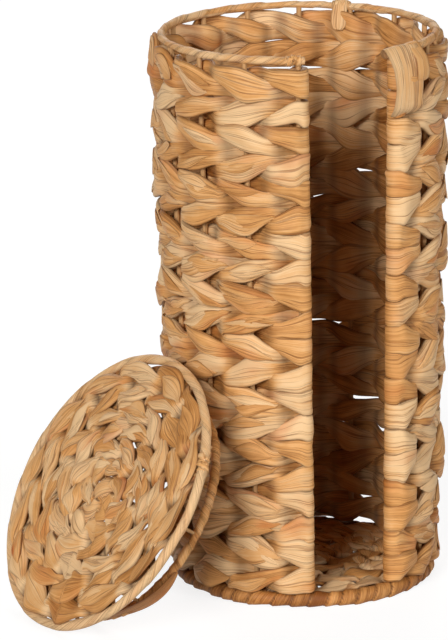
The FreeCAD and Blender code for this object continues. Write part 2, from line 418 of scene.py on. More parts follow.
def tube_faces(points: Array, ring: int, closed: bool, first: int) -> Faces:
    """List the faces of a tube's skin, turned outwards.

    Args:
        points: The skin's points, ring after ring.
        ring: Number of points round the tube.
        closed: Whether the last ring joins the first.
        first: Number of the skin's first point in the mesh.

    Returns:
        Quads along the skin, and end caps on an open one.
    """
    count = len(points) // ring
    faces = []
    for i in range(count if closed else count - 1):
        here, there = i * ring, (i + 1) % count * ring
        for j in range(ring):
            k = (j + 1) % ring
            faces.append((here + j, here + k, there + k, there + j))
    quads = np.array(faces)
    a, b, c, d = (points[quads[:, i]] - points.mean(axis=0) for i in range(4))
    volume = (np.cross(a, b) * c).sum() + (np.cross(a, c) * d).sum()
    if not closed:
        faces.append(tuple(reversed(range(ring))))
        faces.append(tuple(range(len(points) - ring, len(points))))
    way = -1 if volume < 0 else 1
    return [tuple(first + corner for corner in face[::way]) for face in faces]


def skinned(
    name: str, points: Array, faces: Faces, leaf: Array, tint: Array, material: bpy.types.Material
) -> bpy.types.Object:
    """Make an object of leaf skins, with the attributes that its material reads.

    Args:
        name: The piece's name.
        points: Its points, in metres.
        faces: Its faces.
        leaf: Place along and across the leaf at each point, in millimetres, and the leaf's seed.
        tint: How pale and how rusty the leaf is at each point, and its painted shade where it is tucked.
        material: Its leaf material.

    Returns:
        The object.
    """
    mesh = bpy.data.meshes.new(name)
    mesh.from_pydata(points.tolist(), [], faces)
    mesh.shade_smooth()
    rows = leaf.astype(np.float32).ravel()
    mesh.attributes.new("leaf", "FLOAT_VECTOR", "POINT").data.foreach_set("vector", rows)
    rows = np.column_stack((tint, np.ones(len(tint)))).astype(np.float32).ravel()
    mesh.attributes.new("tint", "FLOAT_COLOR", "POINT").data.foreach_set("color", rows)
    mesh.materials.append(material)
    piece = bpy.data.objects.new(name, mesh)
    bpy.context.scene.collection.objects.link(piece)
    return piece


@dataclass
class LeafSkin:
    """Turns strands into one mesh with creased, uneven leaf skins.

    Places across a leaf go from -1 to 1, and depths and ripples are shares of its half sizes.
    """

    rng: np.random.Generator
    around: int = 32
    stations_per_knot: int = 9
    creases: int = 6
    crease_depth: float = 0.24
    crease_reach: float = 0.75
    crease_sway: float = 0.3
    crease_spread: Range = (0.16, 0.5)
    nominal_half_mm: float = 7.0
    edge_ripple: float = 0.09
    margin_from: float = 0.84
    margin_painted_shade: float = 0.5
    longest_mm: float = 4000.0
    seeds: float = 100.0

    def rings(self, strand: Strand) -> tuple[Array, Array]:
        """Lay out the points of one strand.

        Args:
            strand: The strand's stations.

        Returns:
            Points as stations by places around, and their leaf coordinates in millimetres.
        """
        count = len(strand.centre)
        line = (count, max(4, count // self.stations_per_knot), strand.closed)
        angle = TURN * (np.arange(self.around) + 0.5) / self.around
        power = (2 / np.broadcast_to(strand.squareness, count))[:, None]
        wide = np.sign(np.cos(angle)) * np.abs(np.cos(angle)) ** power
        thin = np.sign(np.sin(angle)) * np.abs(np.sin(angle)) ** power
        swell = np.ones((count, self.around))
        for _ in range(self.creases):
            middle = self.rng.uniform(-self.crease_reach, self.crease_reach)
            middle = middle + self.crease_sway * wander(self.rng, *line)
            depth = self.crease_depth * wander(self.rng, *line)
            spread = self.rng.uniform(*self.crease_spread)
            swell += depth[:, None] * np.clip(1 - np.abs(wide - middle[:, None]) / spread, 0, 1)
        right, left = (1 + self.edge_ripple * wander(self.rng, *line)[:, None] for _ in range(2))
        reach = np.where(wide > 0, right, left) * wide
        points = (
            strand.centre[:, None]
            + strand.wide_way[:, None] * (strand.half_wide[:, None] * reach)[..., None]
            + strand.thin_way[:, None] * (strand.half_thin[:, None] * thin * swell)[..., None]
        )
        steps = np.linalg.norm(np.diff(strand.centre, axis=0), axis=1) / MM
        along = np.concatenate(([0.0], np.cumsum(steps))) + self.rng.uniform(0, self.longest_mm)
        leaf = np.zeros(points.shape)
        leaf[..., 0] = along[:, None]
        leaf[..., 1] = wide * self.nominal_half_mm
        leaf[..., 2] = self.rng.uniform(0, self.seeds)
        return points, leaf

    def build(self, name: str, strands: list[Strand], material: bpy.types.Material) -> bpy.types.Object:
        """Make one object of several strands, none of which reaches below the floor.

        Args:
            name: The piece's name.
            strands: Its strands.
            material: Its leaf material.

        Returns:
            The object.
        """
        points, leaves, tints, faces = [], [], [], []
        for strand in strands:
            laid, leaf = self.rings(strand)
            flat = laid.reshape(-1, 3)
            flat[:, 2] = np.maximum(flat[:, 2], 0.0)
            faces += tube_faces(flat, self.around, strand.closed, sum(map(len, points)))
            tint = np.repeat(strand.tint, self.around, axis=0)
            # Painted shade along each leaf's margins, for the dark gaps between straps, together with a
            # browner leaf margin
            margin = np.abs(leaf[..., 1]).ravel() / self.nominal_half_mm
            margin = np.clip((margin - self.margin_from) / (1 - self.margin_from), 0, 1)
            tint[:, 2] = np.maximum(tint[:, 2], self.margin_painted_shade * margin)
            points.append(flat)
            leaves.append(leaf.reshape(-1, 3))
            tints.append(tint)
        joined = (np.concatenate(rows) for rows in (leaves, tints))
        return skinned(name, np.concatenate(points), faces, *joined, material)


def place(piece: bpy.types.Object, body: Body, slot: Slot, *nodes: str) -> None:
    """Set a piece on its body, in place of the frame's nodes that it stands for.

    Args:
        piece: The finished piece.
        body: What it moves with.
        slot: The record's slot of its finish; not used.
        nodes: The nodes that it replaces.
    """
    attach(piece, body.value)
    if nodes:
        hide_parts(*nodes)
    LOG.info("%s: %d points on %s", piece.name, len(piece.data.vertices), body.value)


@dataclass
class Twine:
    """Winds leaf pairs over bars and lays loose leaves on them; lengths in metres.

    A leaf stays on the outside for longer with more slack and dives under its partner faster
    with more snap. Spreads and ranges are drawn anew for each lobe, the stretch over one bar.
    """

    rng: np.random.Generator
    bar_radius: float
    half_row: float
    thin: float
    seat: float = 0.2 * MM
    samples: int = 14
    blend: float = 4.0
    slack: float = 0.45
    snap: float = 1.5
    bulge: float = 1.8 * MM
    fullness: float = 1.1
    cross_share: float = 0.58
    climb_share: float = 0.46
    dip: float = 0.26
    width_spread: float = 0.26
    thick_spread: float = 0.3
    shift: float = 2.2 * MM
    lean: float = 0.26
    squareness: float = 2.3
    tone: float = 0.72
    tone_spread: float = 0.36
    rust: Range = (-0.7, 0.9)
    inside_painted_shade: float = 0.22
    tuck_painted_shade: float = 0.8
    tuck_shade_reach: float = 0.6
    blade_share: float = 0.55
    blade_layers: int = 2
    blade_half: float = 0.6 * MM
    blade_squareness: float = 2.0
    blade_reach: Range = (0.42, 0.66)
    blade_width: Range = (0.35, 0.75)
    blade_shift: float = 0.2
    blade_offset: float = 0.35
    blade_slant: float = 0.7
    blade_curl: float = 2.6 * MM
    blade_tone: Range = (-0.34, 0.3)
    blade_rust: Range = (-0.8, 0.7)

    def per_lobe(self, span: Array, low: float, high: float, period: int = 0) -> Array:
        """Give each lobe its own value and blend from lobe to lobe.

        Args:
            span: Places along the strand, in bars.
            low: Least value.
            high: Greatest value.
            period: Number of bars in a closed round, or 0 for an open row.

        Returns:
            A value for each place.
        """
        base = int(math.floor(span.min()))
        values = self.rng.uniform(low, high, int(span.max()) - base + 3)
        if period:
            values[period:] = values[: len(values) - period]
        before = np.floor(span - base).astype(int)
        share = np.clip((span - base - before - 0.5) * self.blend + 0.5, 0, 1)
        share = share * share * (3 - 2 * share)
        return values[before] * (1 - share) + values[before + 1] * share

    def strand(self, span: Array, ways: Ways, side: int, twist: int, period: int = 0) -> Strand:
        """Wind one strand of a pair, a half turn from bar to bar.

        Args:
            span: Places along the strand, in bars.
            ways: Middle of the bars, way off the bars and way along the bars at each place.
            side: 1 or -1, which strand of the pair.
            twist: 1 or -1, which way the pair winds.
            period: Number of bars in a closed round, or 0.

        Returns:
            The strand.
        """

        def each(low: float, high: float) -> Array:
            """A value for each place, drawn for each lobe."""
            return self.per_lobe(span, low, high, period)

        origin, over, along = ways
        phase = np.pi * (span + (side < 0))
        bow = np.cos(phase)
        depth = np.sin(np.pi / 2 * np.clip((bow + self.slack) * self.snap, -1, 1))
        rise = (np.sin(phase) + np.arcsin(np.sin(phase)) * 2 / np.pi) / 2
        half_thin = self.thin * each(1 - self.thick_spread, 1 + self.thick_spread)
        full = self.half_row * each(self.fullness - self.width_spread, self.fullness + self.width_spread)
        half_wide = full * (self.cross_share + (1 - self.cross_share) * bow**2)
        lift = (self.bar_radius + self.seat + half_thin) * depth
        lift = lift + self.bulge * each(0, 1) * np.clip(bow, 0, 1) ** 2
        shift = self.shift * each(-1, 1) * bow**2
        climb = self.half_row * self.climb_share * twist * rise + shift
        centre = origin + over * lift[:, None] + along * climb[:, None]
        lean = each(-self.lean, self.lean) * bow**2
        lean = lean - self.dip * twist * np.sin(phase) * (bow > 0)
        upright, aslant = np.cos(lean)[:, None], np.sin(lean)[:, None]
        thin_way = (over * upright + along * aslant) * side
        wide_way = along * upright - over * aslant
        tone = each(self.tone - self.tone_spread, self.tone + self.tone_spread)
        # Painted shade: lobes on the inner side are darker, for the shade inside the basket
        tone = tone - self.inside_painted_shade * np.clip(-depth, 0, 1)
        rust = each(*self.rust).clip(0, 1)
        # Painted shade where the lobe passes between the bars and is tucked under its partner
        tuck_painted_shade = self.tuck_painted_shade * np.clip(1 - np.abs(depth) / self.tuck_shade_reach, 0, 1)
        tint = np.column_stack((tone, rust, tuck_painted_shade))
        square = np.full(len(span), self.squareness)
        return Strand(centre, thin_way, wide_way, half_thin, half_wide, tint, square, period > 0)

    def blades(self, strand: Strand, span: Array, side: int) -> list[Strand]:
        """Lay single pointed leaves loosely on some of the lobes that face outwards.

        Args:
            strand: The strand that carries them.
            span: Its places, in bars.
            side: 1 or -1, which strand of the pair it is.

        Returns:
            The loose leaves.
        """
        rng = self.rng
        leaves = []
        bars = [bar for bar in range(1, int(span.max())) if math.cos(math.pi * bar) * side > 0]
        for bar in bars * self.blade_layers:
            if rng.uniform() > self.blade_share:
                continue
            at = bar + rng.uniform(-self.blade_shift, self.blade_shift)
            on = np.flatnonzero(np.abs(span - at) < rng.uniform(*self.blade_reach))
            run = np.linspace(-1, 1, len(on))
            taper = np.clip(1 - np.abs(run) ** 1.8, 0.01, 1) ** 0.75
            half_wide = strand.half_wide[on] * rng.uniform(*self.blade_width) * taper
            aside = rng.uniform(-self.blade_offset, self.blade_offset)
            aside = aside + rng.uniform(-self.blade_slant, self.blade_slant) * run
            curl = self.blade_curl * max(0.0, rng.uniform(-2, 1))
            curl = curl * np.clip(run * rng.choice((-1, 1)), 0, 1) ** 3
            lift = (strand.half_thin[on] + curl) * side
            thin_way, wide_way = strand.thin_way[on], strand.wide_way[on]
            middle = strand.centre[on] + wide_way * (strand.half_wide[on] * aside)[:, None]
            middle = middle + thin_way * lift[:, None]
            tint = strand.tint[on]
            tint[:, 0] = self.tone + rng.uniform(*self.blade_tone)
            tint[:, 1] = max(0.0, rng.uniform(*self.blade_rust))
            thin = self.blade_half * taper
            blade = Strand(middle, thin_way, wide_way, thin, half_wide, tint, self.blade_squareness)
            leaves.append(blade)
        return leaves


def outward(turn: Array) -> Array:
    """Unit vectors away from the axis, at angles from the middle of the slot."""
    return np.stack((np.sin(turn), -np.cos(turn), np.zeros_like(turn)), axis=-1)


@dataclass
class WallRow:
    """One row: a leaf twined with itself round the stakes and folded round both slot posts.

    Lengths in metres; hand is 1, or -1 for a mirrored row.
    """

    rng: np.random.Generator
    radius: float
    height: float
    pitch: float
    hand: int
    stake_radius: float = 1.6 * MM
    leaf_half: float = 2.3 * MM
    fold_steps: int = 14
    fold_thin: float = 0.95
    fold_wide: float = 1.02
    fold_squareness: float = 6.0

    def ways(self, span: Array) -> Ways:
        """Middle of the stakes, way off them and way up them, at places in stakes."""
        out = outward(self.hand * (span + 1) * TURN / STAKE_POSITIONS)
        return out * self.radius + UP * self.height, out, np.broadcast_to(UP, out.shape)

    def fold(self, span: float, side: int, seat: float, before: Strand, after: Strand) -> Strand:
        """Turn the leaf round a slot post, by a half turn with its ends left out.

        Args:
            span: The post's place, in stakes.
            side: 1 if the leaf comes from outside, or -1 if it comes from inside.
            seat: Gap between leaf and post.
            before: The run that ends at the post.
            after: The run that starts there.

        Returns:
            The folded run.
        """
        turn = np.pi * np.arange(1, self.fold_steps) / self.fold_steps
        at, out, up = (way[0] for way in self.ways(np.array([span])))
        aside = np.cross(up, out) * side * self.hand
        thin_way = out * (side * np.cos(turn))[:, None] + aside * np.sin(turn)[:, None]
        thin = self.leaf_half * self.fold_thin
        centre = at + thin_way * (self.stake_radius + seat + thin)
        wide_way = np.broadcast_to(up, thin_way.shape)
        share = np.linspace(0, 1, len(turn))[:, None]
        tint = before.tint[-1] * (1 - share) + after.tint[0] * share
        sizes = (thin, self.pitch / 2 * self.fold_wide, self.fold_squareness)
        half_thin, half_wide, square = (np.full(len(turn), size) for size in sizes)
        return Strand(centre, thin_way, wide_way, half_thin, half_wide, tint, square)

    def strands(self) -> list[Strand]:
        """Lay out the inner ply, a fold, the outer ply, the other fold, and the loose leaves.

        Returns:
            The row's strand, and the loose leaves that lie on it.
        """
        twine = Twine(self.rng, self.stake_radius, self.pitch / 2, self.leaf_half)
        spans = STAKE_POSITIONS - 2
        there = np.linspace(0, spans, spans * twine.samples + 1)
        back = there[::-1]
        inner = twine.strand(back, self.ways(back), -1, 1)
        outer = twine.strand(there, self.ways(there), 1, 1)
        start = self.fold(0, -1, twine.seat, inner, outer)
        finish = self.fold(spans, 1, twine.seat, outer, inner)
        runs = (inner, start, outer, finish)
        stations = (np.concatenate([getattr(run, key) for run in runs]) for key in STATION_KEYS)
        row = smoothed(Strand(*stations, closed=True))
        return [row] + twine.blades(inner, back, -1) + twine.blades(outer, there, 1)


@dataclass
class Wall:
    """The twined rows round the stakes, of which the top one is a little looser."""

    top_looseness: float = 0.12
    seed: int = 11

    def build(self, leaf: bpy.types.Material) -> None:
        """Make every row in place of its node, on stakes that lean between two wires.

        Args:
            leaf: The leaf material.
        """
        rows = sorted(node for node in frame["nodes"] if node.startswith("weave_row"))
        boxes = [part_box(node) for node in (rows[0], rows[-1], "base_ring_wire", "rim_wire")]
        lowest, highest, foot_z, head_z = ((low.z + high.z) / 2 for low, high in boxes)
        foot, head = ((high.x - low.x - (high.z - low.z)) / 2 for low, high in boxes[2:])
        pitch = (highest - lowest) / (len(rows) - 1)
        for number, node in enumerate(rows):
            z = lowest + number * pitch
            radius = foot + (head - foot) * (z - foot_z) / (head_z - foot_z)
            loose = pitch * (self.top_looseness if node == rows[-1] else 0.0)
            rng = np.random.default_rng(self.seed * 100 + number)
            row = WallRow(rng, radius, z + loose, pitch + loose, -1 if number % 2 else 1)
            piece = LeafSkin(rng).build("leaf_" + node, row.strands(), leaf)
            place(piece, Body.BASKET, Slot.WALL, node)


@dataclass
class RingPlane:
    """A plane that rings lie in: a centre, two ways across and a way off its face."""

    centre: Array
    level: Array
    climb: Array
    face: Array

    def at(self, turn: Array) -> Array:
        """Unit vectors away from the centre, at angles from the way opposite to climb."""
        out = outward(turn)
        return out[..., :1] * self.level + out[..., 1:2] * self.climb


def level_plane(node: str) -> RingPlane:
    """Find the level plane at the middle of a basket node's height.

    Args:
        node: The node's name.

    Returns:
        The plane, centred on the basket's axis.
    """
    low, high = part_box(node)
    across = np.eye(3)
    return RingPlane(UP * (low.z + high.z) / 2, across[0], across[1], UP)


def lid_plane() -> RingPlane:
    """Find the leaning lid's plane from its lifting joint's axis and its rim wire.

    Returns:
        The plane, centred on the lid.
    """
    face = np.array(frame["joints"][0]["axis"], float)
    face /= np.linalg.norm(face)
    level = np.cross(UP, face)
    level /= np.linalg.norm(level)
    low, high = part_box("lid_rim_wire")
    return RingPlane(np.array((low + high) / 2), level, np.cross(face, level), face)


@dataclass
class FlatWeave:
    """Twined rounds over the spokes of the base or the lid, and the knot at their centre."""

    name: str
    body: Body
    lobes: tuple[int, ...]
    seed: int
    edges_mm: tuple[float, ...] = (8.4, 20.6, 32.8, 45.0, 57.2, 69.6, 81.8)
    overlap: float = 1.24
    spoke_radius_mm: float = 1.2
    leaf_half_mm: float = 1.4
    knot_leaves: int = 3
    knot_stations: int = 48
    knot_radius_mm: float = 8.0
    knot_height_mm: float = 3.6
    knot_step_mm: float = 0.5
    knot_half_mm: float = 4.2
    knot_swell_mm: float = 0.8
    knot_thin_mm: float = 1.1

    def build(self, where: RingPlane, leaf: bpy.types.Material) -> None:
        """Make the rounds, first the innermost, and the knot.

        Args:
            where: The weave's plane.
            leaf: The leaf material.
        """
        for number, lobes in enumerate(self.lobes):
            rng = np.random.default_rng(self.seed * 100 + number)
            inner, outer = self.edges_mm[number] * MM, self.edges_mm[number + 1] * MM
            half = (outer - inner) / 2
            twine = Twine(
                rng, self.spoke_radius_mm * MM, half * self.overlap, self.leaf_half_mm * MM, slack=0.6,
                bulge=0.9 * MM, cross_share=0.5, climb_share=0.4, shift=1.0 * MM, tone=0.8,
                tone_spread=0.46, tuck_painted_shade=0.85, blade_share=0.7,
            )
            span = np.arange(lobes * twine.samples) / twine.samples
            out = where.at(TURN * (span + rng.uniform(0, 1)) / lobes)
            ways = (where.centre + out * (inner + half), np.broadcast_to(where.face, out.shape), out)
            twist = 1 if number % 2 else -1
            strands = [twine.strand(span, ways, side, twist, lobes) for side in (1, -1)]
            strands += twine.blades(strands[0], span, 1) + twine.blades(strands[1], span, -1)
            node = "%s_weave_round_%d" % (self.name, number + 1)
            piece = LeafSkin(rng, around=24, nominal_half_mm=5.5).build("leaf_" + node, strands, leaf)
            place(piece, self.body, Slot.FLAT, node)
        self.knot(where, leaf)

    def knot(self, where: RingPlane, leaf: bpy.types.Material) -> None:
        """Make the centre knot: leaves bent over the crossing of the spokes, one across another.

        Args:
            where: The weave's plane.
            leaf: The leaf material.
        """
        rng = np.random.default_rng(self.seed * 100 + 50)
        count = self.knot_stations
        turn = TURN * np.arange(count) / count
        cos, sin = np.cos(turn)[:, None], np.sin(turn)[:, None]
        loops = []
        for number in range(self.knot_leaves):
            heading = np.pi * number / self.knot_leaves + rng.uniform(-0.2, 0.2)
            run = where.at(np.array([heading]))[0]
            long, tall = self.knot_radius_mm * MM, (self.knot_height_mm + self.knot_step_mm * number) * MM
            centre = where.centre + run * (long * cos) + where.face * (tall * sin)
            thin_way = run * (tall * cos) + where.face * (long * sin)
            thin_way /= np.linalg.norm(thin_way, axis=1, keepdims=True)
            wide_way = np.broadcast_to(np.cross(where.face, run), centre.shape)
            tone, rust = np.full(count, rng.uniform(0.4, 0.8)), np.full(count, 0.2)
            # The third tint value is painted shade where each loop dips to the weave's face
            tint = np.column_stack((tone, rust, np.abs(cos) ** 8 * 0.7))
            thin = np.full(count, self.knot_thin_mm * MM)
            wide = (self.knot_half_mm + self.knot_swell_mm * sin[:, 0] ** 2) * MM
            loops.append(Strand(centre, thin_way, wide_way, thin, wide, tint, closed=True))
        node = self.name + "_centre_knot"
        piece = LeafSkin(rng, around=20, nominal_half_mm=4.5).build("leaf_" + node, loops, leaf)
        place(piece, self.body, Slot.WRAP, node)


@dataclass
class WoundRing:
    """A wire ring, or an arc of one, wound with a leaf strip, each turn lapped on the last."""

    name: str
    body: Body
    radius_mm: float
    tube_mm: float
    lead_mm: float
    seed: int
    lap_mm: float = 0.55
    lap_share: float = 0.9
    depth_mm: float = 0.0
    sweep: float = TURN
    start: float = 0.0
    unevenness_mm: float = 0.35
    drift: float = 0.35
    sways: int = 14
    size_spread: float = 0.2
    tone: float = 0.7
    tone_spread: float = 0.2
    rust: float = 0.25
    edge_from: float = 0.82
    lap_painted_shade: float = 0.55
    around: int = 20
    stations: int = 12

    def build(self, where: RingPlane, leaf: bpy.types.Material) -> None:
        """Make the wound strip's skin.

        Args:
            where: The ring's plane.
            leaf: The leaf material.
        """
        rng = np.random.default_rng(self.seed)
        closed = self.sweep >= TURN
        length = self.radius_mm * self.sweep
        turns = round(length / self.lead_mm)
        count = turns * self.stations
        run = np.linspace(0, 1, count, endpoint=not closed)
        winding = run * turns + self.drift * wander(rng, count, max(2, turns // 2), closed)
        angle = TURN * np.arange(self.around) / self.around
        strip = winding[:, None] + angle / TURN
        number = strip.astype(int) % turns
        lap = strip % 1.0
        lap = np.where(lap < self.lap_share, lap / self.lap_share, (1 - lap) / (1 - self.lap_share))
        heft = rng.uniform(1 - self.size_spread, 1 + self.size_spread, turns + 3)[number]
        bulge = self.unevenness_mm * wander(rng, count, turns, closed)
        tube = (self.tube_mm + bulge[:, None] - self.lap_mm * heft * lap) * MM
        sway = np.column_stack([wander(rng, count, self.sways, closed) for _ in range(2)])
        sway = self.unevenness_mm * MM * sway
        out = where.at(self.start + self.sweep * run)
        middle = where.centre - where.face * (self.depth_mm * MM)
        middle = middle + out * (self.radius_mm * MM + sway[:, :1]) + where.face * sway[:, 1:]
        points = (
            middle[:, None]
            - out[:, None] * (tube * np.cos(angle))[..., None]
            + where.face * (tube * np.sin(angle))[..., None]
        )
        points[..., 2] = np.maximum(points[..., 2], 0.0)
        leaf_at = np.zeros(points.shape)
        leaf_at[..., 0] = angle * self.tube_mm * 1.2 + run[:, None] * length
        leaf_at[..., 1] = strip * self.lead_mm
        tone = self.tone + rng.uniform(-self.tone_spread, self.tone_spread, turns + 3)[number]
        # Painted shade at the step where each turn runs under the next one
        edge = np.clip((lap - self.edge_from) / (1 - self.edge_from), 0, 1) * self.lap_painted_shade
        tint = np.stack((tone, np.full_like(tone, self.rust), edge), axis=-1)
        points, leaf_at, tint = (rows.reshape(-1, 3) for rows in (points, leaf_at, tint))
        faces = tube_faces(points, self.around, closed, 0)
        piece = skinned("wound_" + self.name, points, faces, leaf_at, tint, leaf)
        place(piece, self.body, Slot.WRAP, *(node for node in (self.name,) if node in frame["nodes"]))


def ribbon(
    path: Array, wide_way: Array, half_wide: Array, half_thin: float, tone: float, rust: float = 0.2
) -> Strand:
    """Make a single leaf or fibre that follows a path.

    Args:
        path: Points along its middle, in metres.
        wide_way: Rough way across it.
        half_wide: Its half width at each point.
        half_thin: Its half thickness.
        tone: How pale it is.
        rust: How rusty it is.

    Returns:
        The leaf.
    """
    along = np.gradient(path, axis=0)
    along /= np.linalg.norm(along, axis=1, keepdims=True)
    wide = wide_way - along * (along * wide_way).sum(axis=1, keepdims=True)
    wide /= np.linalg.norm(wide, axis=1, keepdims=True)
    count = len(path)
    tint = np.tile((tone, rust, 0.0), (count, 1))
    return Strand(path, np.cross(along, wide), wide, np.full(count, half_thin), half_wide, tint, 2.0)


def bend(corners: Array, count: int, passes: int) -> Array:
    """Draw a smooth path through corners.

    Args:
        corners: The corners.
        count: Number of points.
        passes: How often each point is averaged with its neighbours.

    Returns:
        Points along the path, with its ends kept.
    """
    sides = np.linalg.norm(np.diff(corners, axis=0), axis=1)
    reach = np.concatenate(([0.0], np.cumsum(sides)))
    at = np.linspace(0, reach[-1], count)
    path = np.column_stack([np.interp(at, reach, corners[:, i]) for i in range(3)])
    for _ in range(passes):
        path[1:-1] = (path[:-2] + 2 * path[1:-1] + path[2:]) / 4
    return path


@dataclass
class RimSpot:
    """A place on a rim, with its turn in degrees."""

    body: Body
    where: RingPlane
    radius_mm: float
    turn: float

    def out(self) -> Array:
        """Unit vector from the rim's centre towards the spot."""
        return self.where.at(np.array([math.radians(self.turn)]))[0]

    def middle(self) -> Array:
        """The spot itself, in metres."""
        return self.where.centre + self.out() * self.radius_mm * MM


@dataclass
class LooseEnds:
    """Leaf ties and loose leaves at the rims: turns in degrees, lengths in millimetres."""

    leaf: bpy.types.Material
    strip: bpy.types.Material
    rear_turn: float = 139.0
    slot_turn: float = -24.5
    post_turn: float = 23.4
    side_turn: float = 31.0
    lid_turn: float = 118.0
    rusty_turns: tuple[float, float] = (307.0, 325.0)
    rusty_radius_mm: float = 73.0
    rusty_slant_mm: float = 3.0
    rusty_lift_mm: float = 7.4
    rusty_bow_mm: float = 2.0
    rusty_half_mm: float = 4.0
    collar_turns: tuple[float, float] = (14.0, 70.0)
    collar_stand_mm: float = 2.6
    collar_wave_mm: float = 2.0
    collar_half_mm: tuple[float, float] = (1.2, 5.6)
    collar_flare: float = 0.35
    leaf_thin_mm: float = 0.6
    fold_clear_mm: float = 3.5
    fold_thin_mm: float = 0.7
    fold_points: int = 48
    fray_mm: Range = (5.0, 8.5)
    fray_half_mm: Range = (0.7, 0.15)
    fray_thin_mm: float = 0.22
    fray_sag_mm: float = 1.5
    fray_points: int = 10
    seed: int = 77

    def tie(self, name: str, spot: RimSpot, length_mm: float, tube_mm: float) -> None:
        """Wind a short tie on a rim.

        Args:
            name: The tie's name.
            spot: Its middle.
            length_mm: Its length along the rim.
            tube_mm: Its outer radius.
        """
        sweep = length_mm / spot.radius_mm
        start = math.radians(spot.turn) - sweep / 2
        wound = WoundRing(
            name, spot.body, spot.radius_mm, tube_mm, lead_mm=4.2, seed=self.seed,
            lap_mm=0.9, sweep=sweep, start=start, unevenness_mm=0.3, tone=0.8,
        )
        wound.build(spot.where, self.strip)

    def frays(self, name: str, spot: RimSpot, count: int) -> None:
        """Let a few torn fibres stand out of a tie.

        Args:
            name: The piece's name.
            spot: Middle of the tie.
            count: Number of fibres.
        """
        rng = np.random.default_rng(self.seed + count)
        root = spot.middle()
        half = np.linspace(*self.fray_half_mm, self.fray_points) * MM
        fibres = []
        for _ in range(count):
            aim = spot.out() + rng.uniform(-1, 1, 3)
            aim /= np.linalg.norm(aim)
            tip = root + aim * rng.uniform(*self.fray_mm) * MM
            sag = rng.uniform(-self.fray_sag_mm, self.fray_sag_mm, 3) * MM
            path = bend(np.array((root, (root + tip) / 2 + sag, tip)), self.fray_points, 3)
            tone = rng.uniform(0.5, 0.95)
            # The small shift keeps the way across clear of zero for a fibre that points straight up
            fibres.append(ribbon(path, np.cross(aim, UP + 0.01), half, self.fray_thin_mm * MM, tone))
        piece = LeafSkin(rng, around=8, creases=0).build(name, fibres, self.leaf)
        place(piece, spot.body, Slot.WRAP)

    def drape(
        self, name: str, spot: RimSpot, half_mm: float, falls_mm: Range, stand_mm: float, tone: float = 0.86
    ) -> None:
        """Fold a leaf over the basket's rim.

        Args:
            name: The leaf's name.
            spot: Middle of the leaf on the rim.
            half_mm: Half its width.
            falls_mm: How far it hangs down inside and outside.
            stand_mm: How far out it lies on the wall before its end tucks in.
            tone: How pale it is.
        """
        rng = np.random.default_rng(self.seed + round(spot.turn))
        out = spot.out()
        over = self.fold_clear_mm
        inside, outside = falls_mm
        steps = (
            (-over - inside / 4, -inside),
            (-over, 0.0),
            (0.0, over + 0.4),
            (over, 0.0),
            (stand_mm * 0.88, -outside / 4),
            (stand_mm, -outside * 0.6),
            (stand_mm * 0.92, -outside * 0.88),
            (stand_mm * 0.3, -outside),
        )
        corners = np.array([spot.middle() + (out * aside + UP * rise) * MM for aside, rise in steps])
        path = bend(corners, self.fold_points, 6)
        rounded = np.sqrt(1 - np.linspace(-0.97, 0.9, self.fold_points) ** 8)
        half = half_mm * (1 + 0.12 * wander(rng, self.fold_points, 4)) * rounded * MM
        across = np.broadcast_to(np.cross(UP, out), path.shape)
        sheet = ribbon(path, across, half, self.fold_thin_mm * MM, tone)
        place(LeafSkin(rng).build(name, [sheet], self.leaf), spot.body, Slot.WRAP)

    def lid_leaves(self, lid: RingPlane) -> None:
        """Lay a short rusty leaf on the lid's outer round, and a long dark one along its collar.

        Args:
            lid: The lid's plane.
        """
        rng = np.random.default_rng(self.seed)
        run = np.linspace(-1, 1, 24)
        out = lid.at(np.radians(np.linspace(*self.rusty_turns, len(run))))
        aside = (self.rusty_radius_mm + self.rusty_slant_mm * run)[:, None] * MM
        above = (self.rusty_lift_mm - self.rusty_bow_mm * run**2)[:, None] * MM
        half = self.rusty_half_mm * (1.02 - np.abs(run) ** 2.2) * MM
        path = lid.centre + out * aside + lid.face * above
        rusty = ribbon(path, out, half, self.leaf_thin_mm * MM, tone=0.45, rust=5.0)
        piece = LeafSkin(rng, margin_painted_shade=0.25).build("lid_rusty_leaf", [rusty], self.leaf)
        place(piece, Body.LID, Slot.FLAT)

        run = np.linspace(0, 1, 40)
        out = lid.at(np.radians(np.linspace(*self.collar_turns, len(run))))
        aside = (COLLAR_RADIUS_MM + self.collar_stand_mm) * MM
        above = (self.collar_wave_mm * np.sin(6 * run) - COLLAR_DEPTH_MM)[:, None] * MM
        narrow, swell = self.collar_half_mm
        half = (narrow + swell * np.sin(np.linspace(0.05, 3.09, len(run))) ** 0.8) * MM
        path = lid.centre + out * aside + lid.face * above
        across = lid.face + out * self.collar_flare
        dark = ribbon(path, across, half, self.leaf_thin_mm * MM, tone=0.25, rust=0.3)
        piece = LeafSkin(rng).build("lid_collar_leaf", [dark], self.leaf)
        place(piece, Body.LID, Slot.WRAP)

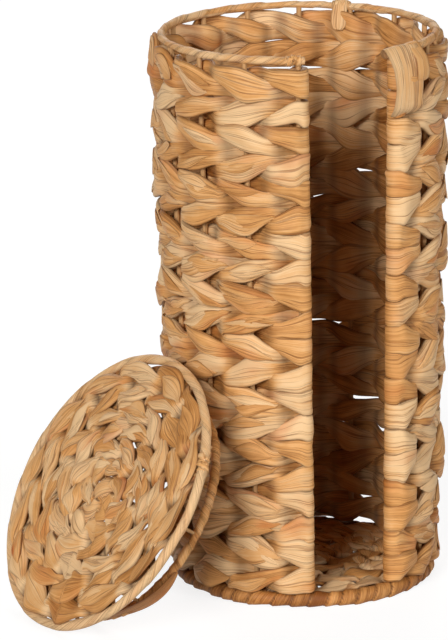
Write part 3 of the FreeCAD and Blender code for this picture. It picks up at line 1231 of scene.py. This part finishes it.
    def build(self, top: RingPlane, lid: RingPlane) -> None:
        """Make the ties with their frays, the leaves over the rim and the leaves on the lid.

        Args:
            top: Plane of the basket's rim.
            lid: Plane of the lid.
        """
        turns = (self.rear_turn, self.slot_turn, self.post_turn, self.side_turn)
        rear, slot, post, side = (RimSpot(Body.BASKET, top, RIM_RADIUS_MM, turn) for turn in turns)
        edge = RimSpot(Body.LID, lid, LID_RADIUS_MM, self.lid_turn)
        self.tie("rim_tie_rear", rear, length_mm=11.0, tube_mm=3.4)
        self.tie("rim_tie_slot", slot, length_mm=9.0, tube_mm=3.5)
        self.frays("rim_frays", slot, count=9)
        self.tie("lid_rim_tie", edge, length_mm=14.0, tube_mm=3.7)
        self.frays("lid_rim_frays", edge, count=11)
        self.drape("rim_leaf_post", post, half_mm=12.6, falls_mm=(5.0, 38.0), stand_mm=8.6)
        self.drape("rim_leaf_side", side, half_mm=6.0, falls_mm=(4.0, 21.0), stand_mm=9.6, tone=0.62)
        self.drape("rim_leaf_rear", rear, half_mm=4.6, falls_mm=(14.0, 7.0), stand_mm=4.0)
        self.lid_leaves(lid)


@dataclass(frozen=True)
class Lamp:
    """A broad distant light: degrees from the front and above the floor, breadth and power."""

    name: str
    azimuth: float
    elevation: float
    spread: float
    strength: float


@dataclass
class Studio:
    """Camera at the photograph's angle, soft lights and a white paper floor; lengths in metres."""

    azimuth: float = -22.2
    elevation: float = 14.9
    distance: float = 3.0
    roll: float = -0.75
    focal_px: float = 4932.0
    frame_px: tuple[int, int] = (448, 640)
    target_px: tuple[float, float] = (302.0, 302.0)
    target: tuple[float, float, float] = (0.0, 0.0, 0.170)
    floor_size: float = 30.0
    lamp_distance: float = 2.6
    lamps: tuple[Lamp, ...] = (
        Lamp("key_light", azimuth=-46.0, elevation=22.0, spread=26.0, strength=2.85),
        Lamp("fill_light", azimuth=25.0, elevation=20.0, spread=34.0, strength=1.5),
        Lamp("back_light", azimuth=165.0, elevation=30.0, spread=40.0, strength=1.5),
    )
    air: str = "#FFFFFF"
    air_strength: float = 0.03

    @staticmethod
    def towards(azimuth: float, elevation: float) -> Vector:
        """Unit vector from the object, for an azimuth and an elevation in degrees."""
        turn, rise = math.radians(azimuth), math.radians(elevation)
        return Vector((math.sin(turn) * math.cos(rise), -math.cos(turn) * math.cos(rise), math.sin(rise)))

    def camera(self) -> None:
        """Make the camera, aimed so that the target lands on its pixel."""
        back = self.towards(self.azimuth, self.elevation)
        turn, roll = math.radians(self.azimuth), math.radians(self.roll)
        level = Vector((math.cos(turn), math.sin(turn), 0.0))
        upright = back.cross(level)
        right = level * math.cos(roll) + upright * math.sin(roll)
        upright = upright * math.cos(roll) - level * math.sin(roll)
        aside = (self.frame_px[0] / 2 - self.target_px[0]) / self.focal_px
        below = (self.frame_px[1] / 2 - self.target_px[1]) / self.focal_px
        aim = (right * aside - upright * below - back).normalized()
        right = (right - aim * right.dot(aim)).normalized()
        turned = Matrix((right, right.cross(aim), -aim)).transposed()
        data = bpy.data.cameras.new("photo_camera")
        data.lens = data.sensor_width * self.focal_px / max(self.frame_px)
        camera = bpy.data.objects.new("photo_camera", data)
        bpy.context.scene.collection.objects.link(camera)
        stand = Matrix.Translation(Vector(self.target) + back * self.distance)
        camera.matrix_world = stand @ turned.to_4x4()
        bpy.context.scene.camera = camera

    def hang(self, lamp: Lamp) -> None:
        """Hang a lamp so that it shines on the object.

        Args:
            lamp: The lamp.
        """
        data = bpy.data.lights.new(lamp.name, "SUN")
        data.angle = math.radians(lamp.spread)
        data.energy = lamp.strength
        light = bpy.data.objects.new(lamp.name, data)
        away = self.towards(lamp.azimuth, lamp.elevation)
        light.location = Vector(self.target) + away * self.lamp_distance
        light.rotation_mode = "QUATERNION"
        light.rotation_quaternion = (-away).to_track_quat("-Z", "Y")
        bpy.context.scene.collection.objects.link(light)

    def build(self) -> None:
        """Make the floor, the lights and the camera."""
        half = self.floor_size / 2
        corners = [(-half, -half, 0), (half, -half, 0), (half, half, 0), (-half, half, 0)]
        mesh = bpy.data.meshes.new("studio_floor")
        mesh.from_pydata(corners, [], [(0, 1, 2, 3)])
        mesh.materials.append(Paper().build())
        floor = bpy.data.objects.new("studio_floor", mesh)
        bpy.context.scene.collection.objects.link(floor)
        world = bpy.data.worlds.new("studio_air")
        world.use_nodes = True
        glow = world.node_tree.nodes["Background"].inputs
        glow["Color"].default_value = linear(self.air)
        glow["Strength"].default_value = self.air_strength
        bpy.context.scene.world = world
        for lamp in self.lamps:
            self.hang(lamp)
        self.camera()
        bpy.context.scene.view_settings.view_transform = "Standard"


def dress_wires(coated: bpy.types.Material, bare: bpy.types.Material) -> None:
    """Give the stakes and spokes that show, and the wires inside the wraps, their finish.

    Args:
        coated: Finish of the stakes, posts, spokes and legs.
        bare: Finish of the wires that a wrap covers.
    """
    for name, node in frame["nodes"].items():
        if not node.hide_render:
            finish = bare if name.endswith("_wire") else coated
            node.data.materials.clear()
            node.data.materials.append(finish)
            LOG.info("%s: %s", name, finish.name)


def wind_rings(top: RingPlane, lid: RingPlane, leaf: bpy.types.Material, strip: bpy.types.Material) -> None:
    """Wind the base ring, the rim that ends at the slot, the lid's rim and its collar.

    Args:
        top: Plane of the basket's rim.
        lid: Plane of the lid.
        leaf: The leaf material.
        strip: The strip material.
    """
    base_ring = WoundRing(
        "base_ring_wrap", Body.BASKET, BASE_RADIUS_MM, tube_mm=5.0, lead_mm=11.0, seed=41,
        lap_mm=0.9, unevenness_mm=0.5, tone=0.2, lap_painted_shade=0.85,
    )
    start = TURN / STAKE_POSITIONS - RIM_OVERHANG_MM / RIM_RADIUS_MM
    rim = WoundRing(
        "rim_wrap", Body.BASKET, RIM_RADIUS_MM, tube_mm=2.6, lead_mm=19.0, seed=42,
        lap_mm=0.5, sweep=TURN - 2 * start, start=start, tone=0.8, lap_painted_shade=0.4,
    )
    lid_rim = WoundRing(
        "lid_rim_wrap", Body.LID, LID_RADIUS_MM, tube_mm=3.2, lead_mm=36.0, seed=43,
        lap_mm=0.4, tone=0.9, lap_painted_shade=0.3,
    )
    collar = WoundRing(
        "lid_collar_wrap", Body.LID, COLLAR_RADIUS_MM, tube_mm=3.0, lead_mm=9.0, seed=44,
        depth_mm=COLLAR_DEPTH_MM, tone=0.5,
    )
    base_ring.build(level_plane("base_ring_wire"), strip)
    rim.build(top, strip)
    lid_rim.build(lid, leaf)
    collar.build(lid, strip)


def main() -> None:
    """Build and dress every sub-assembly, then set the studio."""
    logging.basicConfig(level=logging.INFO, format="%(name)s %(message)s")
    leaf = LeafFinish("dried_hyacinth_leaf").build()
    strip = LeafFinish("dried_leaf_strip", stretch=12.0, crease_mm=2.4).build()
    top, lid = level_plane("rim_wire"), lid_plane()
    Wall().build(leaf)
    base = FlatWeave("base", Body.BASKET, lobes=(8, 8, 16, 16, 16), seed=21)
    base.build(level_plane("base_spokes"), leaf)
    FlatWeave("lid", Body.LID, lobes=(6, 8, 10, 12, 14, 14), seed=31).build(lid, leaf)
    wind_rings(top, lid, leaf, strip)
    LooseEnds(leaf, strip).build(top, lid)
    dress_wires(COATED_WIRE.build(), BARE_WIRE.build())
    Studio().build()


if __name__ == "__main__":
    main()
